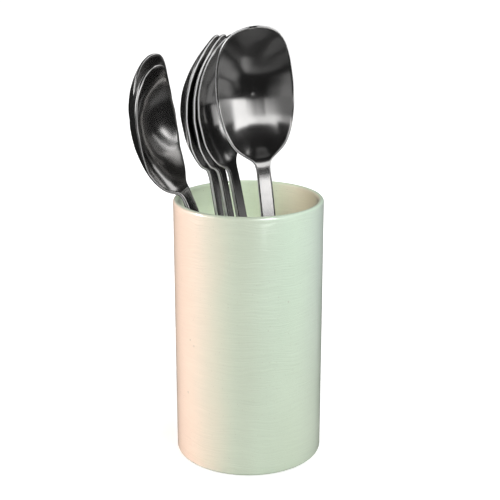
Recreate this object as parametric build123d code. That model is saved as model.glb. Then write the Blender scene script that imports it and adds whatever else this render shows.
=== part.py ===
"""Tall glazed crock with six serving spoons standing in it, in millimetres.

+Z is up and the origin is the centre of the crock's base. -Y is the front of the crock.
Each spoon is made upright, its handle's end at the origin and its hollow side towards -Y. It is then set in the
crock by the place of its handle's end on the floor, the place where the handle passes the rim, and its turn.
"""
from build123d import *
from collections import namedtuple
import math
import os

os.makedirs("parts", exist_ok=True)

# Crock
crock_diameter = 100
crock_height = 179
crock_wall = 4
crock_floor = 5
crock_foot_radius = 2
crock_inner_corner_radius = 5

# Serving spoons: a strip handle that widens into a stamped bowl
handle_thickness = 3
handle_end_width = 11
neck_width = 9.1
bowl_sheet = 2

# Long spoons: the front one, whose handle is a little longer, and the nested three
front_handle_length = 204
long_handle_length = 202
long_bowl_length = 89
long_bowl_width = 49.3
long_bowl_depth = 11.2
long_rim_dip = 1.4
long_tip_rise = 16.1

# Short spoons: the two that lean to the left, narrower and deeper
short_handle_length = 192.8
short_bowl_length = 85.2
short_bowl_width = 44.3
short_bowl_depth = 17.2
short_rim_dip = 6.4
short_tip_rise = 11.2

# Clearance of each handle's end over the crock's floor, and how far the bowl's blank runs past its outline
seat_clearance = 0.3
trim_overrun = 6

# Sections of the bowl from the neck to past the tip. Each holds shares: its place along the bowl's length, its
# middle's depth below the rim, the rim's dip behind the handle, the rim's rise towards the tip, and its cross
# curve as a share of the bowl's depth over half its width
long_section_shares = (
    (0.10, 0.442, 0.704, 0.022, 1.15),
    (0.18, 0.682, 0.891, 0.013, 1.09),
    (0.30, 0.908, 1.000, 0.000, 1.06),
    (0.45, 1.000, 0.714, 0.012, 1.02),
    (0.60, 0.909, 0.390, 0.095, 0.93),
    (0.75, 0.659, 0.206, 0.317, 0.76),
    (0.87, 0.366, 0.076, 0.587, 0.60),
    (0.95, 0.138, 0.025, 0.830, 0.47),
    (1.00, 0.000, 0.000, 1.000, 0.41),
    (1.06, -0.190, 0.000, 1.200, 0.38),
)
short_section_shares = (
    (0.10, 0.260, 0.723, 0.000, 0.68),
    (0.18, 0.450, 0.906, 0.000, 0.72),
    (0.30, 0.695, 1.000, 0.000, 0.82),
    (0.45, 0.930, 0.660, 0.000, 0.96),
    (0.60, 0.991, 0.270, 0.038, 1.01),
    (0.75, 0.846, 0.100, 0.244, 0.99),
    (0.87, 0.581, 0.030, 0.545, 0.93),
    (0.95, 0.295, 0.000, 0.809, 0.93),
    (1.00, 0.000, 0.000, 1.000, 0.93),
    (1.06, -0.380, 0.000, 1.240, 0.93),
)

# Outline of the bowl from the neck to the tip: places along the bowl's length, and half widths as shares of
# half the bowl's width
outline_shares = ((0.03, 0.33), (0.10, 0.62), (0.18, 0.79), (0.39, 0.975), (0.54, 1.00), (0.68, 0.965),
                  (0.82, 0.86), (0.896, 0.73), (0.968, 0.45))
neck_flare_share = 0.15

# Where each spoon stands: the place of its handle's end on the floor and the place where it passes the rim,
# both across and back as shares of the crock's inner radius, then its turn to the right in degrees
front_place_shares = {
    "front_spoon": ((0.662, -0.357), (0.264, -0.500), 10.5),
}
nested_place_shares = {
    "nested_spoon_front": ((0.489, 0.719), (-0.154, 0.018), 59.5),
    "nested_spoon_middle": ((0.277, 0.755), (-0.319, -0.032), 70.5),
    "nested_spoon_rear": ((0.061, 0.816), (-0.456, -0.024), 71.2),
}
left_place_shares = {
    "left_spoon_front": ((0.425, 0.104), (-0.828, -0.361), 62.5),
    "left_spoon_rear": ((0.312, 0.074), (-0.905, 0.138), 62.0),
}


def crock():
    """One wall, floor and rounded lip, turned about the crock's axis."""
    outer = crock_diameter / 2
    inner = outer - crock_wall
    lip = crock_wall / 2
    lip_height = crock_height - lip
    foot = crock_foot_radius
    corner = crock_inner_corner_radius
    corner_centre = (inner - corner, crock_floor + corner)
    diagonal = math.sin(math.radians(45))
    profile = [
        Line((0, 0), (outer - foot, 0)),
        ThreePointArc((outer - foot, 0), (outer - foot + foot * diagonal, foot - foot * diagonal), (outer, foot)),
        Line((outer, foot), (outer, lip_height)),
        ThreePointArc((outer, lip_height), (inner + lip, crock_height), (inner, lip_height)),
        Line((inner, lip_height), (inner, corner_centre[1])),
        ThreePointArc(
            (inner, corner_centre[1]),
            (corner_centre[0] + corner * diagonal, corner_centre[1] - corner * diagonal),
            (corner_centre[0], crock_floor),
        ),
        Line((corner_centre[0], crock_floor), (0, crock_floor)),
        Line((0, crock_floor), (0, 0)),
    ]
    return revolve(make_face([Plane.XZ * edge for edge in profile]), Axis.Z)


def bowl_middle(size, place):
    """How far in front of the handle the bowl's middle line lies at one section."""
    share, depth, dip, rise, curve = size.sections[place]
    return size.tip_rise * rise - size.rim_dip * dip - size.bowl_depth * depth


def bowl_slope(size, place):
    """Slope of the bowl's middle line at one section."""
    before = max(place - 1, 0)
    after = min(place + 1, len(size.sections) - 1)
    run = size.bowl_length * (size.sections[after][0] - size.sections[before][0])
    return (bowl_middle(size, after) - bowl_middle(size, before)) / run


def flat_section(size, half):
    """The strip's own section, where the handle ends and the bowl begins."""
    side = handle_thickness / 2
    corners = [(-half, -side), (half, -side), (half, side), (-half, side)]
    return make_face(Polyline([Vector(x, y, size.handle_length) for x, y in corners], close=True))


def curved_section(size, place, half):
    """A crescent across the bowl, between two arcs about one centre."""
    share, depth, dip, rise, curve = size.sections[place]
    height = size.handle_length + size.bowl_length * share
    thickness = bowl_sheet / math.cos(math.atan(bowl_slope(size, place)))
    sag = size.bowl_depth * curve * (2 * half / size.bowl_width) ** 2
    radius = (half ** 2 + sag ** 2) / (2 * sag)
    centre = bowl_middle(size, place) + radius
    reach = math.asin(half / radius)

    def point(distance, angle):
        return Vector(distance * math.sin(angle), distance * math.cos(angle) - centre, height)

    front = radius - thickness / 2
    back = radius + thickness / 2
    return make_face([
        ThreePointArc(point(front, -reach), point(front, 0), point(front, reach)),
        Line(point(front, reach), point(back, reach)),
        ThreePointArc(point(back, reach), point(back, 0), point(back, -reach)),
        Line(point(back, -reach), point(front, -reach)),
    ])


def spoon_outline(size):
    """The stamped outline of handle and bowl, seen from the front."""
    half_bowl = size.bowl_width / 2
    half_neck = neck_width / 2
    half_end = handle_end_width / 2
    tip = size.handle_length + size.bowl_length
    side = [(half_neck, size.handle_length)]
    side += [(half_bowl * width, size.handle_length + size.bowl_length * share) for share, width in outline_shares]
    side += [(0, tip)]
    mirrored = [(-x, y) for x, y in reversed(side)]
    edges = [
        ThreePointArc((-half_end, half_end), (0, 0), (half_end, half_end)),
        Line((half_end, half_end), side[0]),
        Spline(side, tangents=[(neck_flare_share, 1), (-1, 0)]),
        Spline(mirrored, tangents=[(-1, 0), (neck_flare_share, -1)]),
        Line(mirrored[-1], (-half_end, half_end)),
    ]
    return make_face([Plane.XZ * edge for edge in edges])


def spoon(size):
    """One spoon, upright on the origin: a strip and a pressed trough, cut to the outline."""
    half = size.bowl_width / 2 + trim_overrun
    trough = loft([flat_section(size, half)]
                  + [curved_section(size, place, half) for place in range(len(size.sections))])
    strip = Pos(0, 0, size.handle_length / 2) * Box(2 * half, handle_thickness, size.handle_length)
    return (strip + trough) & extrude(spoon_outline(size), amount=size.bowl_width, both=True)


def stand(shape, foot_shares, rim_shares, turn):
    """Set a spoon in the crock with its handle's end just over the floor."""
    inner = crock_diameter / 2 - crock_wall
    foot = Vector(inner * foot_shares[0], inner * foot_shares[1], crock_floor)
    rim = Vector(inner * rim_shares[0], inner * rim_shares[1], crock_height)
    along = (rim - foot).normalized()
    facing = Vector(math.sin(math.radians(turn)), -math.cos(math.radians(turn)), 0)
    facing = (facing - along * facing.dot(along)).normalized()
    across = along.cross(facing)
    round_end = handle_end_width / 2
    lowest = round_end * (along.Z - math.hypot(along.Z, across.Z)) - handle_thickness / 2 * abs(facing.Z)
    foot.Z = crock_floor + seat_clearance - lowest
    return Plane(origin=foot, x_dir=across, z_dir=along).location * shape


SpoonSize = namedtuple("SpoonSize", "handle_length bowl_length bowl_width bowl_depth rim_dip tip_rise sections")
long_spoon = SpoonSize(long_handle_length, long_bowl_length, long_bowl_width, long_bowl_depth, long_rim_dip,
                       long_tip_rise, long_section_shares)
front_spoon = long_spoon._replace(handle_length=front_handle_length)
short_spoon = SpoonSize(short_handle_length, short_bowl_length, short_bowl_width, short_bowl_depth, short_rim_dip,
                        short_tip_rise, short_section_shares)
spoon_sets = (
    (front_spoon, front_place_shares),
    (long_spoon, nested_place_shares),
    (short_spoon, left_place_shares),
)

pieces = {"crock": crock()}
for size, places in spoon_sets:
    shape = spoon(size)
    for name, (foot_shares, rim_shares, turn) in places.items():
        pieces[name] = stand(shape, foot_shares, rim_shares, turn)

for name, shape in pieces.items():
    export_step(shape, f"parts/{name}.step")
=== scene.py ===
import math

import bmesh
import bpy
from mathutils import Matrix, Vector


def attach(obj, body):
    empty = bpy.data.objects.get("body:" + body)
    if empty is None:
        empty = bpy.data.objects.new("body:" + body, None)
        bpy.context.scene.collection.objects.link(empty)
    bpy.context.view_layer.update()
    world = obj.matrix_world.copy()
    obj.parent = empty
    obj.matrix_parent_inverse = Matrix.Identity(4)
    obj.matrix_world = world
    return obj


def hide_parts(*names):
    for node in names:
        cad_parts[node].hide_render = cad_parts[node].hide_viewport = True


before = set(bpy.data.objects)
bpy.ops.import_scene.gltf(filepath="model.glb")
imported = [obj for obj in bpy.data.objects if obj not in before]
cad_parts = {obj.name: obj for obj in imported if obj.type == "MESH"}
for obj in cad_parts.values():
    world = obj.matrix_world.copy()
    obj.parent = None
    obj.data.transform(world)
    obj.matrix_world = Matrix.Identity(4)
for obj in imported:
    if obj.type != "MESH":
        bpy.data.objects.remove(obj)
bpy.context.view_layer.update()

bl_info = {
    "name": "Utensil crock with serving spoons",
    "version": (1, 0, 0),
    "blender": (4, 5, 0),
    "location": "View3D > Sidebar > Crock",
    "description": "A tall glazed stoneware crock with steel serving spoons standing in it",
    "category": "Object",
}

# Rows along a spoon's round end, its handle and its bowl, and points across its front and round each corner
END_ROWS = 8
HANDLE_ROWS = 26
BOWL_ROWS = 44
ACROSS_POINTS = 12
CORNER_POINTS = 3
# How much closer together the bowl's rows lie at the tip, where 0 spaces them evenly
TIP_CROWDING = 0.65
# Share of the bowl's length over which the handle's thickness becomes the sheet's
NECK_SHARE = 0.1
# Largest share of a section's half width and half thickness that the rounding of its edges takes up
ROUND_ACROSS = 0.6
ROUND_THROUGH = 0.95
# Step over which a spoon's slopes are taken, as a share of its sheet
SLOPE_STEP_SHARE = 0.1
# Attribute that marks where a spoon's edge takes its painted highlight, and its points, counted from the
# last of the front
EDGE_HIGHLIGHT = "painted_edge_highlight"
EDGE_POINTS = (CORNER_POINTS, CORNER_POINTS + 1)
# Steps round the crock, round its foot's edge and its inner corner, and round its lip, and cuts up its wall
CROCK_STEPS = 160
FOOT_STEPS = 6
LIP_STEPS = 12
WALL_CUTS = 24
# Name of the crock's piece, and how near together its points are made one, as a share of its wall
CROCK_PIECE = "glazed_crock"
MERGE_SHARE = 0.001
# Steps along a card
CARD_STEPS = 48

# Each section of a bowl: its place along the bowl's length, its middle's depth below the rim, the rim's dip
# behind the handle, the rim's rise towards the tip, and its cross curve, all as shares of the spoon's sizes
LONG_SECTION_SHARES = (
    (-0.03, 0.000, 0.000, 0.000, 0.00),
    (0.10, 0.442, 0.704, 0.022, 1.15),
    (0.18, 0.682, 0.891, 0.013, 1.09),
    (0.30, 0.908, 1.000, 0.000, 1.06),
    (0.45, 1.000, 0.714, 0.012, 1.02),
    (0.60, 0.909, 0.390, 0.095, 0.93),
    (0.75, 0.659, 0.206, 0.317, 0.76),
    (0.87, 0.366, 0.076, 0.587, 0.60),
    (0.95, 0.138, 0.025, 0.830, 0.47),
    (1.00, 0.000, 0.000, 1.000, 0.41),
    (1.06, -0.190, 0.000, 1.200, 0.38),
)
SHORT_SECTION_SHARES = (
    (-0.03, 0.000, 0.000, 0.000, 0.00),
    (0.10, 0.260, 0.723, 0.000, 0.68),
    (0.18, 0.450, 0.906, 0.000, 0.72),
    (0.30, 0.695, 1.000, 0.000, 0.82),
    (0.45, 0.930, 0.660, 0.000, 0.96),
    (0.60, 0.991, 0.270, 0.038, 1.01),
    (0.75, 0.846, 0.100, 0.244, 0.99),
    (0.87, 0.581, 0.030, 0.545, 0.93),
    (0.95, 0.295, 0.000, 0.809, 0.93),
    (1.00, 0.000, 0.000, 1.000, 0.93),
    (1.06, -0.380, 0.000, 1.240, 0.93),
)
# Half widths of the bowl as shares of half its width, at places along its length
OUTLINE_SHARES = (
    (0.00, 0.185), (0.03, 0.33), (0.10, 0.62), (0.18, 0.79), (0.25, 0.88), (0.39, 0.975), (0.54, 1.00),
    (0.68, 0.965), (0.82, 0.86), (0.896, 0.73), (0.968, 0.45), (1.00, 0.00),
)

# Where each spoon stands: the place of its handle's end and the place where it passes the rim, both across
# and back as shares of the crock's inner radius, its turn in degrees, and the body that it rides on
FRONT_PLACES = {
    "front_spoon": ((0.662, -0.357), (0.264, -0.500), 10.5, "front_spoon"),
}
NESTED_PLACES = {
    "nested_spoon_front": ((0.489, 0.719), (-0.154, 0.018), 59.5, "nested_stack"),
    "nested_spoon_middle": ((0.277, 0.755), (-0.319, -0.032), 70.5, "nested_stack"),
    "nested_spoon_rear": ((0.061, 0.816), (-0.456, -0.024), 71.2, "nested_stack"),
}
LEFT_PLACES = {
    "left_spoon_front": ((0.425, 0.104), (-0.828, -0.361), 62.5, "left_pair"),
    "left_spoon_rear": ((0.312, 0.074), (-0.905, 0.138), 62.0, "left_pair"),
}

# Glaze: where each colour takes over from the one before, by how far the surface faces right, from -1 to 1
PEACH_TO_SAGE = (-0.93, -0.12)
SAGE_TO_MINT = (-0.15, 0.50)
# The last step is painted shade: a darker grey-green where the surface faces furthest right
MINT_TO_SHADE = (0.55, 1.10)
TAN_TO_GREEN = (-1.00, 0.00)
# How far cloudy patches move those borders, and how much of the foot's colour shows and of the inside's
# paler colours, which are painted light
BORDER_WANDER = 0.20
FOOT_SHARE = 0.6
LIT_INNER_SHARE = 0.85
# How far on either side of the lip's middle the inside's colour begins, as a share of the wall
LIP_BORDER_SHARE = 0.125
# Each noise below is given by its scale, detail and roughness, and a squeeze by its factors along the axes
NOISE_MEAN = 0.5
# Cloudy patches: their noise and squeeze, and how much they lighten or darken the glaze
CLOUD_NOISE = (38, 3, 0.5)
CLOUD_SQUEEZE = (1, 1, 0.35)
CLOUD_TONE = 0.05
# Throwing lines: their noise and squeeze, and how much they lighten or darken the glaze, as painted light
# on their ridges and painted shade in their grooves
STREAK_NOISE = (45, 4, 0.6)
STREAK_SQUEEZE = (1, 1, 20)
STREAK_LIGHT_AND_SHADE = 0.13
# Waves of the throwing lines: their noise, and how far they reach from lowest to highest
WAVE_NOISE = (28, 2, 0.5)
WAVE_HEIGHT = 0.012
# Relief of the glaze: shares of throwing lines and of fine pits, the pits' noise, its strength and height
STREAK_RELIEF = 0.8
PIT_RELIEF = 0.2
PIT_NOISE = (260, 2, 0.5)
RELIEF_STRENGTH = 0.5
RELIEF_HEIGHT = 0.0009
# Specks: their noise, the levels between which a speck begins, and how dark it is
SPECK_NOISE = (900, 1, 0.5)
SPECK_LEVELS = (0.70, 0.78)
SPECK_SHARE = 0.30
# Small marks in the glaze: direction from the front in degrees, height and size
GLAZE_MARKS = (
    (-54.0, 0.0518, 0.0012),
    (-50.0, 0.0905, 0.0009),
    (-46.0, 0.0872, 0.0010),
    (31.0, 0.1210, 0.0008),
)
# Shine of the glaze: its roughness, how far patches and lines vary it, and the clear coat over it
GLAZE_ROUGHNESS = 0.36
CLOUD_ROUGHNESS = 0.10
STREAK_ROUGHNESS = 0.08
GLAZE_SPECULAR = 0.4
COAT_WEIGHT = 0.8
COAT_ROUGHNESS = 0.07

# Steel: the smudges' noise and how far they darken it, and the fine grain's noise and squeeze
SMUDGE_NOISE = (45, 3, 0.5)
SMUDGE_TONE = 0.82
GRAIN_NOISE = (420, 3, 0.7)
GRAIN_SQUEEZE = (6, 6, 1)
# Shine of the steel: its roughness, how far smudges, grain and the painted edge highlights vary it, and the
# grain's relief
STEEL_ROUGHNESS = 0.17
SMUDGE_ROUGHNESS = 0.10
GRAIN_ROUGHNESS = 0.05
EDGE_ROUGHNESS = 0.15
GRAIN_STRENGTH = 0.03
GRAIN_HEIGHT = 0.0001
# Where the painted edge highlight begins, by its attribute, and how much of the metal's mirror it loses, so
# that it shows light grey
EDGE_LEVELS = (0.45, 0.90)
EDGE_DULLING = 0.70

BLACK = (0.0, 0.0, 0.0, 1.0)
WHITE = (1.0, 1.0, 1.0, 1.0)
# Floor: its colour, and the distances from the crock between which its lift goes from near to far
FLOOR_COLOUR = (0.85, 0.85, 0.85, 1.0)
LIFT_DISTANCES = (0.10, 0.60)
# Light that comes from all round, and the faint light that the steel shows where no card is lit
SOFT_LIGHT = 0.40
DARK = 0.012
# Camera: width of its sensor in millimetres, and the nearest distance that it sees
SENSOR_WIDTH = 36.0
CLIP_START = 0.01

# Cards that show in reflections alone: name, the radius and height of both long edges, the share of the
# width that fades at each long edge, and the level at directions in degrees from the front, positive to the
# right
CARDS = (
    ("dark_floor_card", (0.001, 0.0005), (5.800, 0.0005), 0.0, ((-180, DARK), (180, DARK))),
    ("under_card", (0.020, 0.0015), (0.130, 0.0015), 0.25,
     ((-50, 0.0), (-30, 0.06), (11, 0.09), (30, 0.015), (70, 0.015), (86, 0.09), (105, 0.10), (125, 0.0))),
    ("near_floor_card", (0.120, 0.002), (0.225, 0.002), 0.35,
     ((-60, 0.0), (-45, 0.06), (8, 0.085), (35, 0.13), (54, 0.27), (68, 0.30), (82, 0.12), (95, 0.0))),
    ("near_right_card", (0.190, 0.003), (0.480, 0.003), 0.35,
     ((56, 0.0), (74, 0.20), (92, 0.19), (104, 0.08))),
    ("side_floor_card", (0.120, 0.002), (0.950, 0.002), 0.2,
     ((66, 0.0), (88, 0.20), (118, 0.19), (134, 0.0))),
    ("rear_floor_card", (0.300, 0.001), (0.950, 0.001), 0.2,
     ((120, 0.0), (132, 0.15), (175, 0.15), (190, 0.0))),
    ("left_floor_card", (0.250, 0.003), (0.990, 0.003), 0.2,
     ((-90, 0.2), (-48, 0.2), (-34, 0.085), (-6, 0.0))),
    ("handle_card", (0.540, 0.004), (0.995, 0.004), 0.08,
     ((17.5, 0.0), (20, 2.0), (24.5, 2.0), (27, 0.0))),
    ("bowl_shade_card", (0.250, 0.150), (0.250, 0.206), 0.0, ((15, DARK), (30, DARK))),
    ("left_window_card", (1.000, -0.030), (1.000, 0.360), 0.3,
     ((-60, 0.25), (-46, 0.36), (-34, 0.8))),
    ("near_window_card", (1.000, -0.060), (1.000, 0.520), 0.3,
     ((-34, 0.8), (-28, 1.0), (-8, 0.96))),
    ("window_card", (1.000, 0.010), (1.000, 0.530), 0.3,
     ((-8, 0.96), (6, 0.95), (38, 1.35), (42, 1.35))),
    ("bright_window_card", (1.000, 0.020), (1.000, 0.520), 0.1,
     ((42, 1.35), (72, 1.4), (78, 0.8))),
    ("right_window_card", (1.000, 0.020), (1.000, 0.210), 0.1,
     ((78, 0.75), (85, 0.5), (92, 0.42), (100, 0.0))),
    ("left_side_card", (1.000, 0.000), (1.000, 0.600), 0.1,
     ((-120, 0.0), (-110, 1.6), (-70, 1.6), (-62, 0.0))),
    ("back_left_card", (1.000, 0.220), (1.000, 0.520), 0.1,
     ((-154, 0.0), (-149, 0.8), (-144, 0.8), (-138, 0.0))),
    ("back_card", (1.200, 0.050), (1.200, 1.100), 0.4,
     ((120, 0.0), (150, 0.15), (205, 0.13), (235, 0.0))),
    ("high_right_card", (1.000, 0.930), (1.000, 1.400), 0.1,
     ((54, 0.0), (62, 1.0), (98, 1.0), (106, 0.0))),
    ("high_side_card", (1.000, 0.780), (1.000, 1.380), 0.15,
     ((100, 0.0), (110, 0.9), (152, 0.9), (164, 0.0))),
    ("high_front_card", (1.000, 1.080), (1.000, 1.480), 0.1,
     ((-8, 0.0), (2, 0.075), (28, 0.075), (36, 0.0))),
)

# Lamps that no mirror shows: name, place, the point that each faces, width and height, and power in watts.
# The bounces stand in for the light that a white studio throws on the left of the foot and into the crock
LAMPS = (
    ("key", (-1.74, -0.4, 0.40), (0, 0, 0.07), (1.2, 0.9), 17.6),
    ("fill", (1.0, -1.2, 1.2), (0, 0, 0.15), (1.2, 1.2), 15.0),
    ("right_rim", (1.2, 0.5, 1.0), (0, 0, 0.15), (1.0, 1.0), 7.5),
    ("left_rim", (-1.2, 0.5, 1.0), (0, 0, 0.15), (1.0, 1.0), 5.0),
    ("foot_bounce", (-0.22, -0.05, 0.025), (0, 0, 0.03), (0.06, 0.03), 0.034),
    ("inner_bounce", (-0.026, 0.013, 0.115), (-0.026, 0.013, 0.20), (0.02, 0.02), 0.021),
)
# Small lamps that show on the glaze alone, as highlights on the lip, given as the lamps are
GLINTS = (
    ("right_glint", (0.50, -0.87, 0.54), (0, 0, 0.18), (0.36, 0.40), 19.0),
    ("left_glint", (-0.98, -0.17, 0.54), (0, 0, 0.18), (0.24, 0.40), 16.0),
)


class CrockSizes(bpy.types.PropertyGroup):
    """Sizes and glaze colours of the crock."""
    diameter: bpy.props.FloatProperty(
        name="Diameter", description="Outside diameter", default=0.1, unit="LENGTH")
    height: bpy.props.FloatProperty(
        name="Height", description="Height of the lip", default=0.179, unit="LENGTH")
    wall: bpy.props.FloatProperty(
        name="Wall", description="Thickness of the wall", default=0.004, unit="LENGTH")
    floor: bpy.props.FloatProperty(
        name="Floor", description="Thickness of the floor", default=0.005, unit="LENGTH")
    foot_radius: bpy.props.FloatProperty(
        name="Foot radius", description="Rounding of the foot's edge", default=0.002, unit="LENGTH")
    inner_corner: bpy.props.FloatProperty(
        name="Inner corner", description="Rounding between wall and floor", default=0.005, unit="LENGTH")
    peach: bpy.props.FloatVectorProperty(
        name="Peach blush", description="Colour sprayed on the left side",
        default=(0.98, 0.74, 0.59), size=3, subtype="COLOR")
    sage: bpy.props.FloatVectorProperty(
        name="Sage glaze", description="Colour between the blush and the mint",
        default=(0.62, 0.69, 0.55), size=3, subtype="COLOR")
    mint: bpy.props.FloatVectorProperty(
        name="Mint glaze", description="Colour of the right side",
        default=(0.69, 0.84, 0.68), size=3, subtype="COLOR")
    # Painted shade laid on the far right of the glaze
    right_shade: bpy.props.FloatVectorProperty(
        name="Right shade", description="Painted shade at the far right",
        default=(0.58, 0.67, 0.60), size=3, subtype="COLOR")
    foot: bpy.props.FloatVectorProperty(
        name="Foot glaze", description="Colour that the right side takes on towards the foot",
        default=(0.66, 0.73, 0.57), size=3, subtype="COLOR")
    # Painted light: the inside's tan and green follow the glaze's blush, and are made paler to stand in for
    # the light that falls into the crock
    lit_inner_tan: bpy.props.FloatVectorProperty(
        name="Inner tan", description="Tan inside the right wall, paler with painted light",
        default=(0.94, 0.83, 0.62), size=3, subtype="COLOR")
    lit_inner_green: bpy.props.FloatVectorProperty(
        name="Inner green", description="Green inside the left wall, paler with painted light",
        default=(0.84, 0.98, 0.74), size=3, subtype="COLOR")
    speck: bpy.props.FloatVectorProperty(
        name="Specks", description="Colour of the iron specks",
        default=(0.42, 0.38, 0.28), size=3, subtype="COLOR")


class SpoonSizes(bpy.types.PropertyGroup):
    """Sizes and steel colours of the serving spoons."""
    handle_thickness: bpy.props.FloatProperty(
        name="Handle thickness", description="Thickness of the strip", default=0.003, unit="LENGTH")
    end_width: bpy.props.FloatProperty(
        name="End width", description="Width of the handle at its end", default=0.011, unit="LENGTH")
    neck_width: bpy.props.FloatProperty(
        name="Neck width", description="Width of the handle at the bowl", default=0.0091, unit="LENGTH")
    sheet: bpy.props.FloatProperty(
        name="Bowl sheet", description="Thickness of the bowl", default=0.002, unit="LENGTH")
    edge_radius: bpy.props.FloatProperty(
        name="Edge radius", description="Rounding of the edges", default=0.0007, unit="LENGTH")
    front_handle: bpy.props.FloatProperty(
        name="Front handle", description="Handle of the front spoon", default=0.204, unit="LENGTH")
    long_handle: bpy.props.FloatProperty(
        name="Long handle", description="Handle of the nested spoons", default=0.202, unit="LENGTH")
    long_bowl: bpy.props.FloatProperty(
        name="Long bowl", description="Bowl length of the front and nested spoons",
        default=0.089, unit="LENGTH")
    long_width: bpy.props.FloatProperty(
        name="Long spoon's width", description="Bowl width of the front and nested spoons",
        default=0.0493, unit="LENGTH")
    long_depth: bpy.props.FloatProperty(
        name="Long spoon's depth", description="Bowl depth of the front and nested spoons",
        default=0.0112, unit="LENGTH")
    long_dip: bpy.props.FloatProperty(
        name="Long spoon's dip", description="How far the rim dips behind the handle",
        default=0.0014, unit="LENGTH")
    long_rise: bpy.props.FloatProperty(
        name="Long spoon's rise", description="How far the tip stands in front of the handle",
        default=0.0161, unit="LENGTH")
    # How bright the painted highlight on the long spoons' edges is
    long_edge_highlight: bpy.props.FloatProperty(
        name="Long spoon's edge", description="How bright the painted highlight on the long spoons' edges is",
        default=1.0, subtype="FACTOR")
    short_handle: bpy.props.FloatProperty(
        name="Short handle", description="Handle of the left spoons", default=0.1928, unit="LENGTH")
    short_bowl: bpy.props.FloatProperty(
        name="Short bowl", description="Bowl length of the left spoons", default=0.0852, unit="LENGTH")
    short_width: bpy.props.FloatProperty(
        name="Short spoon's width", description="Bowl width of the left spoons",
        default=0.0443, unit="LENGTH")
    short_depth: bpy.props.FloatProperty(
        name="Short spoon's depth", description="Bowl depth of the left spoons",
        default=0.0172, unit="LENGTH")
    short_dip: bpy.props.FloatProperty(
        name="Short spoon's dip", description="How far the rim dips behind the handle",
        default=0.0064, unit="LENGTH")
    short_rise: bpy.props.FloatProperty(
        name="Short spoon's rise", description="How far the tip stands in front of the handle",
        default=0.0112, unit="LENGTH")
    # How bright the painted highlight on the short spoons' edges is
    short_edge_highlight: bpy.props.FloatProperty(
        name="Short spoon's edge", description="How bright the painted highlight on the short spoons' edges is",
        default=0.68, subtype="FACTOR")
    seat: bpy.props.FloatProperty(
        name="Seat", description="Clearance under the handles' ends", default=0.0003, unit="LENGTH")
    steel: bpy.props.FloatVectorProperty(
        name="Steel", description="Colour of the polished steel",
        default=(0.74, 0.73, 0.72), size=3, subtype="COLOR")
    # Painted highlight: a light grey laid on the spoons' edges in place of the bright lines that light
    # draws there
    edge: bpy.props.FloatVectorProperty(
        name="Edge highlight", description="Colour painted on the edges as their highlight",
        default=(0.86, 0.86, 0.86), size=3, subtype="COLOR")


class StageSizes(bpy.types.PropertyGroup):
    """Camera and floor."""
    camera_back: bpy.props.FloatProperty(
        name="Camera distance", description="How far in front of the crock", default=0.7423, unit="LENGTH")
    camera_height: bpy.props.FloatProperty(
        name="Camera height", description="Height of the camera", default=0.3736, unit="LENGTH")
    camera_side: bpy.props.FloatProperty(
        name="Camera side", description="How far right of the crock's axis", default=0.001, unit="LENGTH")
    camera_pitch: bpy.props.FloatProperty(
        name="Camera pitch", description="How far the camera looks down",
        default=math.radians(17.287), subtype="ANGLE")
    lens: bpy.props.FloatProperty(
        name="Lens", description="Focal length in millimetres", default=83.295, unit="CAMERA")
    floor_side: bpy.props.FloatProperty(
        name="Floor side", description="Length of the floor's side", default=8.0, unit="LENGTH")
    near_lift: bpy.props.FloatProperty(
        name="Near lift", description="Light that the seen floor adds near the crock",
        default=0.35, subtype="FACTOR")
    far_lift: bpy.props.FloatProperty(
        name="Far lift", description="Light that the seen floor adds further off",
        default=0.72, subtype="FACTOR")


class Value:
    """A shader socket that takes Python's arithmetic."""

    def __init__(self, tree, socket):
        self.tree = tree
        self.socket = socket

    def math(self, operation, *others):
        return self.tree.node("ShaderNodeMath", {"operation": operation}, self, *others)

    def __add__(self, other):
        return self.math("ADD", other)

    def __radd__(self, other):
        return self.math("ADD", other)

    def __sub__(self, other):
        return self.math("SUBTRACT", other)

    def __rsub__(self, other):
        return self.tree.node("ShaderNodeMath", {"operation": "SUBTRACT"}, other, self)

    def __mul__(self, other):
        return self.math("MULTIPLY", other)

    def __rmul__(self, other):
        return self.math("MULTIPLY", other)

    def __truediv__(self, other):
        return self.math("DIVIDE", other)

    def ramp(self, low, high):
        """A smooth step from 0 at low to 1 at high."""
        smooth = {"interpolation_type": "SMOOTHSTEP"}
        return self.tree.node("ShaderNodeMapRange", smooth, self, low, high, 0.0, 1.0)


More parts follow.
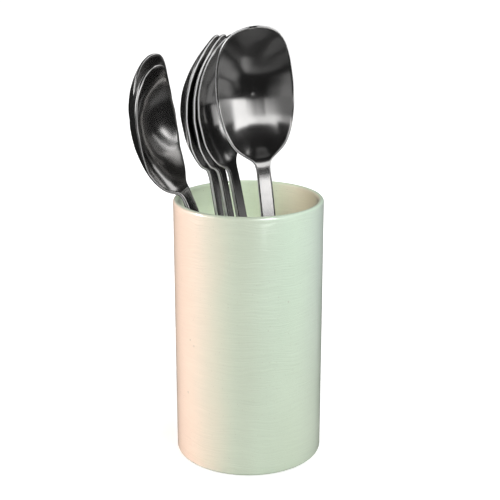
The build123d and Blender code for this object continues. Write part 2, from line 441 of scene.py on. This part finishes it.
class Tree:
    """Nodes and links of a material or of the world."""

    def __init__(self, node_tree):
        self.nodes = node_tree.nodes
        self.links = node_tree.links

    def fill(self, socket, value):
        """Links a value to a socket, or sets it there."""
        if isinstance(value, Value):
            self.links.new(value.socket, socket)
        else:
            socket.default_value = value

    def node(self, kind, settings, *inputs, output=None, **named):
        """Adds one node. Its settings go on first, then the values or links of its sockets."""
        made = self.nodes.new(kind)
        for key, value in settings.items():
            setattr(made, key, value)
        sockets = [socket for socket in made.inputs if socket.enabled]
        for socket, value in zip(sockets, inputs):
            self.fill(socket, value)
        for key, value in named.items():
            self.fill(made.inputs[key], value)
        outputs = [socket for socket in made.outputs if socket.enabled and output in (None, socket.name)]
        return Value(self, outputs[0])

    def light_path(self, output):
        """1 for rays of one kind, such as those of the camera, and 0 for all others."""
        return self.node("ShaderNodeLightPath", {}, output=output)

    def coordinates(self, output):
        """Object coordinates in metres, or the direction that the surface faces."""
        return self.node("ShaderNodeTexCoord", {}, output=output)

    def part(self, vector, axis):
        """One part of a vector."""
        return self.node("ShaderNodeSeparateXYZ", {}, vector, output=axis)

    def vector(self, operation, first, second):
        """Vector Math on two vectors."""
        return self.node("ShaderNodeVectorMath", {"operation": operation}, first, second)

    def grey(self, level):
        """A grey of one level."""
        return self.node("ShaderNodeCombineColor", {}, level, level, level)

    def noise(self, vector, scale, detail, roughness):
        """Noise between 0 and 1, with a mean of a half."""
        return self.node("ShaderNodeTexNoise", {}, Vector=vector, Scale=scale, Detail=detail,
                         Roughness=roughness)

    def mix(self, factor, first, second, blend="MIX"):
        """A colour between two colours, or the first blended with the second."""
        pair = [value if isinstance(value, Value) else (*value, 1.0) for value in (first, second)]
        return self.node("ShaderNodeMix", {"data_type": "RGBA", "blend_type": blend}, factor, *pair)

    def bump(self, relief, strength, depth):
        """A surface direction that follows a relief."""
        return self.node("ShaderNodeBump", {}, Strength=strength, Distance=depth, Height=relief)


class Finish(Tree):
    """A material, whose shader's sockets are fed by name."""

    def __init__(self, name):
        self.material = bpy.data.materials.new(name)
        self.material.use_nodes = True
        super().__init__(self.material.node_tree)

    def feed(self, name, value):
        """Links a value to one of the shader's sockets, or sets it there."""
        self.fill(self.nodes["Principled BSDF"].inputs[name], value)

    def glow(self, colour):
        """Light of its own, added to what the surface reflects."""
        self.feed("Emission Color", colour)
        self.feed("Emission Strength", 1.0)


def distance(right, back):
    """Distance from the crock's axis."""
    return (right * right + back * back).math("SQRT")


def finished_mesh(mesh, name):
    """Turns a bmesh into the data of an object."""
    data = bpy.data.meshes.new(name)
    mesh.to_mesh(data)
    mesh.free()
    return data


def add_piece(name, data, material, body, replaced):
    """Makes an object that rides on a body and stands for a node."""
    piece = bpy.data.objects.new(name, data)
    bpy.context.scene.collection.objects.link(piece)
    data.materials.append(material)
    for face in data.polygons:
        face.use_smooth = True
    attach(piece, body)
    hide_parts(replaced)
    return piece


def glaze_colour(tree, sizes, place, clouds):
    """Peach on what faces left, sage between, mint on the right and painted shade at the far right, and an
    inside made paler as painted light.
    """
    facing = tree.part(tree.coordinates("Normal"), "X")
    side = facing + (clouds - NOISE_MEAN) * BORDER_WANDER
    minted = side.ramp(*SAGE_TO_MINT)
    colour = tree.mix(side.ramp(*PEACH_TO_SAGE), sizes.peach, sizes.sage)
    colour = tree.mix(minted, colour, sizes.mint)
    # Painted shade: a darker grey-green where the surface faces furthest right
    colour = tree.mix(side.ramp(*MINT_TO_SHADE), colour, sizes.right_shade)
    foot = (1.0 - tree.part(place, "Z").ramp(0.0, sizes.height)) * minted
    colour = tree.mix(foot * FOOT_SHARE, colour, sizes.foot)
    radius = distance(tree.part(place, "X"), tree.part(place, "Y"))
    lip = sizes.diameter / 2 - sizes.wall / 2
    border = sizes.wall * LIP_BORDER_SHARE
    # Painted light: the inside takes the paler tan and green, by where it faces, in place of the light that
    # falls into it
    inside = 1.0 - radius.ramp(lip - border, lip + border)
    inner = tree.mix(side.ramp(*TAN_TO_GREEN), sizes.lit_inner_tan, sizes.lit_inner_green)
    return tree.mix(inside * LIT_INNER_SHARE, colour, inner)


def glaze_specks(tree, sizes, place):
    """Fine specks all over, and the small marks at their own places."""
    specks = tree.noise(place, *SPECK_NOISE).ramp(*SPECK_LEVELS)
    for direction, height, size in GLAZE_MARKS:
        turn = math.radians(direction)
        mark = Vector((math.sin(turn), -math.cos(turn), 0.0)) * sizes.diameter / 2 + Vector((0, 0, height))
        apart = tree.vector("DISTANCE", place, tuple(mark))
        specks = specks + (1.0 - apart.ramp(size / 2, size))
    return specks


def glaze_finish(sizes):
    """Coated glaze, mint with a peach blush on the left and painted shade at the far right, an inside made
    paler as painted light, wavy throwing lines with painted light and shade, and specks.
    """
    tree = Finish("glazed_stoneware")
    place = tree.coordinates("Object")
    clouds = tree.noise(tree.vector("MULTIPLY", place, CLOUD_SQUEEZE), *CLOUD_NOISE)
    wave = (tree.noise(place, *WAVE_NOISE) - NOISE_MEAN) * WAVE_HEIGHT
    waved = tree.vector("ADD", place, tree.node("ShaderNodeCombineXYZ", {}, 0.0, 0.0, wave))
    streaks = tree.noise(tree.vector("MULTIPLY", waved, STREAK_SQUEEZE), *STREAK_NOISE)
    colour = glaze_colour(tree, sizes, place, clouds)
    # Random tone of the cloudy patches, and the throwing lines painted into the colour: painted light on
    # their ridges, painted shade in their grooves
    tone_and_shade = (streaks - NOISE_MEAN) * STREAK_LIGHT_AND_SHADE + (clouds - NOISE_MEAN) * CLOUD_TONE + 1.0
    colour = tree.mix(1.0, colour, tree.grey(tone_and_shade), "MULTIPLY")
    colour = tree.mix(glaze_specks(tree, sizes, place) * SPECK_SHARE, colour, sizes.speck)
    uneven = (clouds - NOISE_MEAN) * CLOUD_ROUGHNESS + (streaks - NOISE_MEAN) * STREAK_ROUGHNESS
    relief = streaks * STREAK_RELIEF + tree.noise(place, *PIT_NOISE) * PIT_RELIEF
    tree.feed("Base Color", colour)
    tree.feed("Roughness", uneven + GLAZE_ROUGHNESS)
    tree.feed("Coat Weight", COAT_WEIGHT)
    tree.feed("Coat Roughness", COAT_ROUGHNESS)
    tree.feed("Specular IOR Level", GLAZE_SPECULAR)
    tree.feed("Normal", tree.bump(relief, RELIEF_STRENGTH, RELIEF_HEIGHT))
    return tree.material


def steel_finish(sizes):
    """Polished stainless steel with fine wear, and a painted highlight of light grey on its edges."""
    tree = Finish("stainless_steel")
    place = tree.coordinates("Object")
    smudge = tree.noise(place, *SMUDGE_NOISE)
    grain = tree.noise(tree.vector("MULTIPLY", place, GRAIN_SQUEEZE), *GRAIN_NOISE)
    # Painted highlight: the marked edges turn light grey and less metallic, standing in for the bright
    # lines that light draws on them
    marked = tree.node("ShaderNodeAttribute", {"attribute_name": EDGE_HIGHLIGHT}, output="Fac")
    edge_highlight = marked.ramp(*EDGE_LEVELS)
    smudged = tuple(SMUDGE_TONE * level for level in sizes.steel)
    uneven = (smudge - NOISE_MEAN) * SMUDGE_ROUGHNESS + (grain - NOISE_MEAN) * GRAIN_ROUGHNESS
    tree.feed("Base Color", tree.mix(edge_highlight, tree.mix(smudge, sizes.steel, smudged), sizes.edge))
    tree.feed("Metallic", 1.0 - edge_highlight * EDGE_DULLING)
    tree.feed("Roughness", uneven + edge_highlight * EDGE_ROUGHNESS + STEEL_ROUGHNESS)
    tree.feed("Normal", tree.bump(grain, GRAIN_STRENGTH, GRAIN_HEIGHT))
    return tree.material


def arc(across, height, radius, start, end, steps):
    """Points along an arc in the crock's section, between two angles in degrees."""
    angles = [math.radians(start + (end - start) * k / steps) for k in range(steps + 1)]
    return [(across + radius * math.cos(angle), height + radius * math.sin(angle)) for angle in angles]


def crock_profile(sizes):
    """Half of the crock's section, from the middle of its base over the lip to the middle of its floor."""
    outer = sizes.diameter / 2
    inner = outer - sizes.wall
    lip = sizes.wall / 2
    foot = sizes.foot_radius
    corner = sizes.inner_corner
    profile = [(0.0, 0.0)]
    profile += arc(outer - foot, foot, foot, -90, 0, FOOT_STEPS)
    profile += arc(inner + lip, sizes.height - lip, lip, 0, 180, LIP_STEPS)
    profile += arc(inner - corner, sizes.floor + corner, corner, 0, -90, FOOT_STEPS)
    profile += [(0.0, sizes.floor)]
    return profile


class CROCK_OT_crock(bpy.types.Operator):
    """Make the glazed crock"""
    bl_idname = "crock.make_crock"
    bl_label = "Crock"

    def execute(self, context):
        sizes = context.scene.crock_sizes
        mesh = bmesh.new()
        points = [mesh.verts.new((across, 0.0, height)) for across, height in crock_profile(sizes)]
        edges = [mesh.edges.new(pair) for pair in zip(points, points[1:])]
        bmesh.ops.spin(mesh, geom=points + edges, cent=(0, 0, 0), axis=(0, 0, 1), angle=math.tau,
                       steps=CROCK_STEPS, use_merge=True)
        bmesh.ops.remove_doubles(mesh, verts=mesh.verts, dist=sizes.wall * MERGE_SHARE)
        upright = [edge for edge in mesh.edges
                   if abs(edge.verts[0].co.z - edge.verts[1].co.z) > sizes.height / 2]
        bmesh.ops.subdivide_edges(mesh, edges=upright, cuts=WALL_CUTS, use_grid_fill=True)
        bmesh.ops.recalc_face_normals(mesh, faces=mesh.faces)
        data = finished_mesh(mesh, CROCK_PIECE)
        piece = add_piece(CROCK_PIECE, data, glaze_finish(sizes), "crock", "crock")
        # Kept out of the steel's reflections, so that no green lies on the spoons
        piece.visible_glossy = False
        return {"FINISHED"}


def curve_through(points, place):
    """The value at one place on a smooth curve through points sorted by place, with no overshoot."""
    xs = [point[0] for point in points]
    ys = [point[1] for point in points]
    last = len(xs) - 1
    place = min(max(place, xs[0]), xs[last])
    i = 0
    while i < last - 1 and place > xs[i + 1]:
        i += 1
    steps = [(ys[k + 1] - ys[k]) / (xs[k + 1] - xs[k]) for k in range(last)]

    def slope(k):
        if k == 0:
            return 0.0
        if k == last:
            return steps[last - 1]
        before, after = steps[k - 1], steps[k]
        if before * after <= 0:
            return 0.0
        left, right = xs[k] - xs[k - 1], xs[k + 1] - xs[k]
        return (left + right) * 3 / ((2 * right + left) / before + (right + 2 * left) / after)

    width = xs[i + 1] - xs[i]
    t = (place - xs[i]) / width
    leaving = slope(i) * width
    arriving = slope(i + 1) * width
    return ((2 * t ** 3 - 3 * t ** 2 + 1) * ys[i] + (t ** 3 - 2 * t ** 2 + t) * leaving
            + (3 * t ** 2 - 2 * t ** 3) * ys[i + 1] + (t ** 3 - t ** 2) * arriving)


class SpoonShape:
    """One size of spoon, upright on the origin: its surface, width and thickness along its length."""

    def __init__(self, sizes, sections, handle, bowl, width, depth, dip, rise, edge_highlight_level):
        self.sizes = sizes
        self.handle = handle
        self.bowl = bowl
        self.width = width
        self.edge_highlight_level = edge_highlight_level
        self.length = handle + bowl
        self.end = sizes.end_width / 2
        self.step = sizes.sheet * SLOPE_STEP_SHARE
        self.middles = [(place, rise * lift - dip * drop - depth * deep)
                        for place, deep, drop, lift, curve in sections]
        self.curves = [(place, depth * curve / (width / 2) ** 2)
                       for place, deep, drop, lift, curve in sections]

    def share(self, along):
        """Place along the bowl's length, from 0 at the neck to 1 at the tip."""
        return (along - self.handle) / self.bowl

    def forward(self, along, across):
        """How far in front of the handle's plane the sheet's middle lies."""
        share = self.share(along)
        return curve_through(self.middles, share) + curve_through(self.curves, share) * across ** 2

    def half_width(self, along):
        """Half the width at one place, with a round end."""
        share = self.share(along)
        if share >= 0:
            return self.width / 2 * curve_through(OUTLINE_SHARES, min(share, 1.0))
        half = self.end + (self.sizes.neck_width / 2 - self.end) * along / self.handle
        if along < self.end:
            half = half * math.sqrt(max(1 - (1 - along / self.end) ** 2, 0.0))
        return half

    def half_thickness(self, along):
        """Half the thickness at one place, the strip's on the handle and the sheet's on the bowl."""
        share = min(max(self.share(along) / NECK_SHARE, 0.0), 1.0)
        thick = self.sizes.handle_thickness
        return (thick + (self.sizes.sheet - thick) * share) / 2

    def facing(self, along, across):
        """The sheet's own direction, square to it."""
        step = self.step
        rise_along = self.forward(along + step, across) - self.forward(along - step, across)
        rise_across = self.forward(along, across + step) - self.forward(along, across - step)
        return Vector((-rise_across / (2 * step), -1.0, -rise_along / (2 * step))).normalized()

    def rows(self):
        """Places of the sections, closer together at both ends."""
        quarter = math.pi / 2
        places = [self.end * (1 - math.cos(quarter * k / END_ROWS)) for k in range(1, END_ROWS)]
        places += [self.end + (self.handle - self.end) * k / HANDLE_ROWS for k in range(HANDLE_ROWS)]
        for k in range(BOWL_ROWS):
            turn = k / BOWL_ROWS
            share = (1 - TIP_CROWDING) * turn + TIP_CROWDING * math.sin(quarter * turn)
            places.append(self.handle + self.bowl * share)
        return places

    def ring(self, along):
        """Points round one section, as pairs across and through, each side's front before its edge."""
        half = self.half_width(along)
        full = self.half_thickness(along)
        thick = full
        near_end = min(along, self.length - along)
        radius = min(self.sizes.edge_radius, thick * ROUND_THROUGH)
        if near_end < radius:
            thick = thick - radius + math.sqrt(max(radius ** 2 - (radius - near_end) ** 2, 0.0))
        slope = (self.half_width(along + self.step) - self.half_width(along - self.step)) / (2 * self.step)
        wide = min(radius * math.sqrt(1 + slope ** 2), half * ROUND_ACROSS)
        flat = half - wide
        level = thick - radius * min(thick / full, 1.0)
        tall = thick - level
        front = [(flat * (2 * k / ACROSS_POINTS - 1), thick) for k in range(ACROSS_POINTS + 1)]
        bend = [math.pi / 2 * k / CORNER_POINTS for k in range(1, CORNER_POINTS)]
        right_front = [(flat + wide * math.sin(t), level + tall * math.cos(t)) for t in bend]
        right_back = [(flat + wide * math.cos(t), -level - tall * math.sin(t)) for t in bend]
        points = front + right_front + [(half, level), (half, -level)] + right_back
        points += [(-across, -through) for across, through in points]
        return points


def spoon_skin(shape):
    """One spoon's skin, drawn out from its handle's end to its tip."""
    mesh = bmesh.new()
    # Layer that marks the edges for the painted highlight
    edge_highlight = mesh.verts.layers.float.new(EDGE_HIGHLIGHT)
    rows = shape.rows()
    made = bmesh.ops.create_circle(mesh, segments=len(shape.ring(rows[0])), radius=shape.width)
    loop = sorted(made["verts"], key=lambda vert: vert.index)
    edges = list(mesh.edges)
    mesh.faces.new(loop)
    for along in rows:
        if along > rows[0]:
            grown = bmesh.ops.extrude_edge_only(mesh, edges=edges)["geom"]
            fresh = [item for item in grown if isinstance(item, bmesh.types.BMVert)]
            edges = [item for item in grown if isinstance(item, bmesh.types.BMEdge)
                     and item.verts[0] in fresh and item.verts[1] in fresh]
            follow = {vert: min(fresh, key=lambda new: (new.co - vert.co).length) for vert in loop}
            loop = [follow[vert] for vert in loop]
        for number, (vert, (across, through)) in enumerate(zip(loop, shape.ring(along))):
            point = Vector((across, -shape.forward(along, across), along))
            vert.co = point + shape.facing(along, across) * through
            vert[edge_highlight] = shape.edge_highlight_level * (number % (len(loop) // 2) - ACROSS_POINTS in EDGE_POINTS)
    mesh.faces.new(list(reversed(loop)))
    bmesh.ops.recalc_face_normals(mesh, faces=mesh.faces)
    return mesh


def standing(shape, crock, foot_shares, rim_shares, turn):
    """Placement of an upright spoon in the crock, its handle's end just over the floor."""
    inner = crock.diameter / 2 - crock.wall
    foot = Vector((inner * foot_shares[0], inner * foot_shares[1], crock.floor))
    rim = Vector((inner * rim_shares[0], inner * rim_shares[1], crock.height))
    along = (rim - foot).normalized()
    facing = Vector((math.sin(math.radians(turn)), -math.cos(math.radians(turn)), 0.0))
    facing = (facing - along * facing.dot(along)).normalized()
    across = along.cross(facing)
    lowest = shape.end * (along.z - math.hypot(along.z, across.z))
    lowest -= shape.sizes.handle_thickness / 2 * abs(facing.z)
    foot.z = crock.floor + shape.sizes.seat - lowest
    turned = Matrix((across, -facing, along)).transposed().to_4x4()
    return Matrix.Translation(foot) @ turned


class CROCK_OT_spoons(bpy.types.Operator):
    """Make the serving spoons"""
    bl_idname = "crock.make_spoons"
    bl_label = "Serving spoons"

    def kinds(self, sizes):
        """The three kinds of spoon, each with the places where it stands."""
        long_bowl = (sizes.long_bowl, sizes.long_width, sizes.long_depth, sizes.long_dip, sizes.long_rise,
                     sizes.long_edge_highlight)
        short_bowl = (sizes.short_bowl, sizes.short_width, sizes.short_depth, sizes.short_dip,
                      sizes.short_rise, sizes.short_edge_highlight)
        return (
            (SpoonShape(sizes, LONG_SECTION_SHARES, sizes.front_handle, *long_bowl), FRONT_PLACES),
            (SpoonShape(sizes, LONG_SECTION_SHARES, sizes.long_handle, *long_bowl), NESTED_PLACES),
            (SpoonShape(sizes, SHORT_SECTION_SHARES, sizes.short_handle, *short_bowl), LEFT_PLACES),
        )

    def execute(self, context):
        crock = context.scene.crock_sizes
        sizes = context.scene.spoon_sizes
        steel = steel_finish(sizes)
        for shape, places in self.kinds(sizes):
            for name, (foot_shares, rim_shares, turn, body) in places.items():
                mesh = spoon_skin(shape)
                placement = standing(shape, crock, foot_shares, rim_shares, turn)
                bmesh.ops.transform(mesh, matrix=placement, verts=mesh.verts)
                data = finished_mesh(mesh, name + "_steel")
                piece = add_piece(name + "_steel", data, steel, body, name)
                smooth = piece.modifiers.new("smooth", "SUBSURF")
                smooth.levels = 1
                smooth.render_levels = 1
        return {"FINISHED"}


def stage_piece(name, mesh, material):
    """Adds a piece of the stage."""
    data = finished_mesh(mesh, name)
    data.materials.append(material)
    piece = bpy.data.objects.new(name, data)
    bpy.context.scene.collection.objects.link(piece)
    return piece


def floor_finish(near_level, far_level):
    """Pale floor that keeps the object's shadow, lifted to white where the camera or a mirror sees it."""
    tree = Finish("studio_floor")
    place = tree.coordinates("Object")
    away = distance(tree.part(place, "X"), tree.part(place, "Y")).ramp(*LIFT_DISTANCES)
    seen = tree.light_path("Is Camera Ray").math("MAXIMUM", tree.light_path("Is Glossy Ray"))
    tree.feed("Base Color", FLOOR_COLOUR)
    tree.feed("Roughness", 1.0)
    tree.feed("Specular IOR Level", 0.0)
    tree.glow(tree.grey(seen * (away * (far_level - near_level) + near_level)))
    return tree.material


def card_finish(name, low, high, fade, levels):
    """A black card whose glow changes with its direction from the object and fades at its long edges."""
    tree = Finish(name)
    place = tree.coordinates("Object")
    right, back, height = [tree.part(place, axis) for axis in "XYZ"]
    middle = math.radians((levels[0][0] + levels[-1][0]) / 2)
    aside = right * math.cos(middle) + back * math.sin(middle)
    ahead = right * math.sin(middle) - back * math.cos(middle)
    direction = aside.math("ARCTAN2", ahead) * math.degrees(1) + math.degrees(middle)
    glow = levels[0][1]
    for (start, before), (end, after) in zip(levels, levels[1:]):
        if before != after:
            glow = direction.ramp(start, end) * (after - before) + glow
    if fade:
        wide, tall = high[0] - low[0], high[1] - low[1]
        outward = (distance(right, back) - low[0]) * wide + (height - low[1]) * tall
        across = outward / (wide ** 2 + tall ** 2)
        glow = across.ramp(0.0, fade) * (1.0 - across.ramp(1.0 - fade, 1.0)) * glow + DARK
    tree.feed("Base Color", BLACK)
    tree.feed("Specular IOR Level", 0.0)
    tree.glow(tree.grey(glow))
    return tree.material


def add_card(name, low, high, fade, levels):
    """A curved card round the object, spun between two directions, which shows in reflections alone."""
    start, end = levels[0][0], levels[-1][0]
    mesh = bmesh.new()
    forward = Vector((math.sin(math.radians(start)), -math.cos(math.radians(start)), 0.0))
    points = [mesh.verts.new(forward * radius + Vector((0.0, 0.0, height)))
              for radius, height in (low, high)]
    edge = mesh.edges.new(points)
    bmesh.ops.spin(mesh, geom=points + [edge], cent=(0, 0, 0), axis=(0, 0, 1),
                   angle=math.radians(end - start), steps=CARD_STEPS)
    card = stage_piece(name, mesh, card_finish(name, low, high, fade, levels))
    card.visible_camera = False
    card.visible_diffuse = False
    card.visible_shadow = False
    card.visible_transmission = False


class CROCK_OT_stage(bpy.types.Operator):
    """Make the floor, cards, lamps and camera"""
    bl_idname = "crock.make_stage"
    bl_label = "Stage"

    def floor(self, sizes):
        """A square floor under the crock."""
        mesh = bmesh.new()
        bmesh.ops.create_grid(mesh, x_segments=1, y_segments=1, size=sizes.floor_side / 2)
        stage_piece("floor", mesh, floor_finish(sizes.near_lift, sizes.far_lift))

    def lamp(self, name, place, target, size, power):
        """A rectangular lamp at one point that faces another."""
        data = bpy.data.lights.new(name, "AREA")
        data.shape = "RECTANGLE"
        data.size = size[0]
        data.size_y = size[1]
        data.energy = power
        lamp = bpy.data.objects.new(name, data)
        turn = (Vector(target) - Vector(place)).to_track_quat("-Z", "Y")
        lamp.matrix_world = Matrix.Translation(place) @ turn.to_matrix().to_4x4()
        lamp.visible_glossy = False
        bpy.context.scene.collection.objects.link(lamp)
        return lamp

    def glint(self, name, place, target, size, power):
        """A lamp that shows on the glaze alone, as a highlight."""
        lamp = self.lamp(name, place, target, size, power)
        lamp.visible_glossy = True
        lamp.visible_diffuse = False
        glazed = bpy.data.collections.new(name + "_on_glaze")
        glazed.objects.link(bpy.data.objects[CROCK_PIECE])
        lamp.light_linking.receiver_collection = glazed

    def surroundings(self, scene):
        """A world that is white to the camera, dark to the steel and soft light to the rest."""
        world = bpy.data.worlds.new("studio")
        world.use_nodes = True
        scene.world = world
        tree = Tree(world.node_tree)
        background = tree.nodes["Background"]
        soft = tree.light_path("Is Camera Ray") * (1.0 - SOFT_LIGHT) + SOFT_LIGHT
        glossy = tree.light_path("Is Glossy Ray")
        tree.fill(background.inputs["Strength"], soft * (1.0 - glossy) + glossy * DARK)
        tree.fill(background.inputs["Color"], WHITE)

    def camera(self, scene, sizes):
        """The photograph's camera, in front of the crock and looking down at it."""
        data = bpy.data.cameras.new("camera")
        data.sensor_width = SENSOR_WIDTH
        data.lens = sizes.lens
        data.clip_start = CLIP_START
        camera = bpy.data.objects.new("camera", data)
        place = Vector((sizes.camera_side, -sizes.camera_back, sizes.camera_height))
        turn = Matrix.Rotation(math.pi / 2 - sizes.camera_pitch, 4, "X")
        camera.matrix_world = Matrix.Translation(place) @ turn
        scene.collection.objects.link(camera)
        scene.camera = camera
        scene.view_settings.view_transform = "Standard"

    def execute(self, context):
        scene = context.scene
        sizes = scene.stage_sizes
        self.floor(sizes)
        for row in CARDS:
            add_card(*row)
        self.surroundings(scene)
        for row in LAMPS:
            self.lamp(*row)
        for row in GLINTS:
            self.glint(*row)
        self.camera(scene, sizes)
        return {"FINISHED"}


class CROCK_PT_panel(bpy.types.Panel):
    """The crock's operators and sizes"""
    bl_idname = "CROCK_PT_panel"
    bl_label = "Crock"
    bl_space_type = "VIEW_3D"
    bl_region_type = "UI"
    bl_category = "Crock"

    def draw(self, context):
        for kind in (CROCK_OT_crock, CROCK_OT_spoons, CROCK_OT_stage):
            self.layout.operator(kind.bl_idname)
        scene = context.scene
        for group in (scene.crock_sizes, scene.spoon_sizes, scene.stage_sizes):
            for name in group.__annotations__:
                self.layout.prop(group, name)


CLASSES = (
    CrockSizes,
    SpoonSizes,
    StageSizes,
    CROCK_OT_crock,
    CROCK_OT_spoons,
    CROCK_OT_stage,
    CROCK_PT_panel,
)


def register():
    for kind in CLASSES:
        bpy.utils.register_class(kind)
    bpy.types.Scene.crock_sizes = bpy.props.PointerProperty(type=CrockSizes)
    bpy.types.Scene.spoon_sizes = bpy.props.PointerProperty(type=SpoonSizes)
    bpy.types.Scene.stage_sizes = bpy.props.PointerProperty(type=StageSizes)


def unregister():
    del bpy.types.Scene.stage_sizes
    del bpy.types.Scene.spoon_sizes
    del bpy.types.Scene.crock_sizes
    for kind in reversed(CLASSES):
        bpy.utils.unregister_class(kind)


def main():
    register()
    bpy.ops.crock.make_crock()
    bpy.ops.crock.make_spoons()
    bpy.ops.crock.make_stage()


if __name__ == "__main__":
    main()
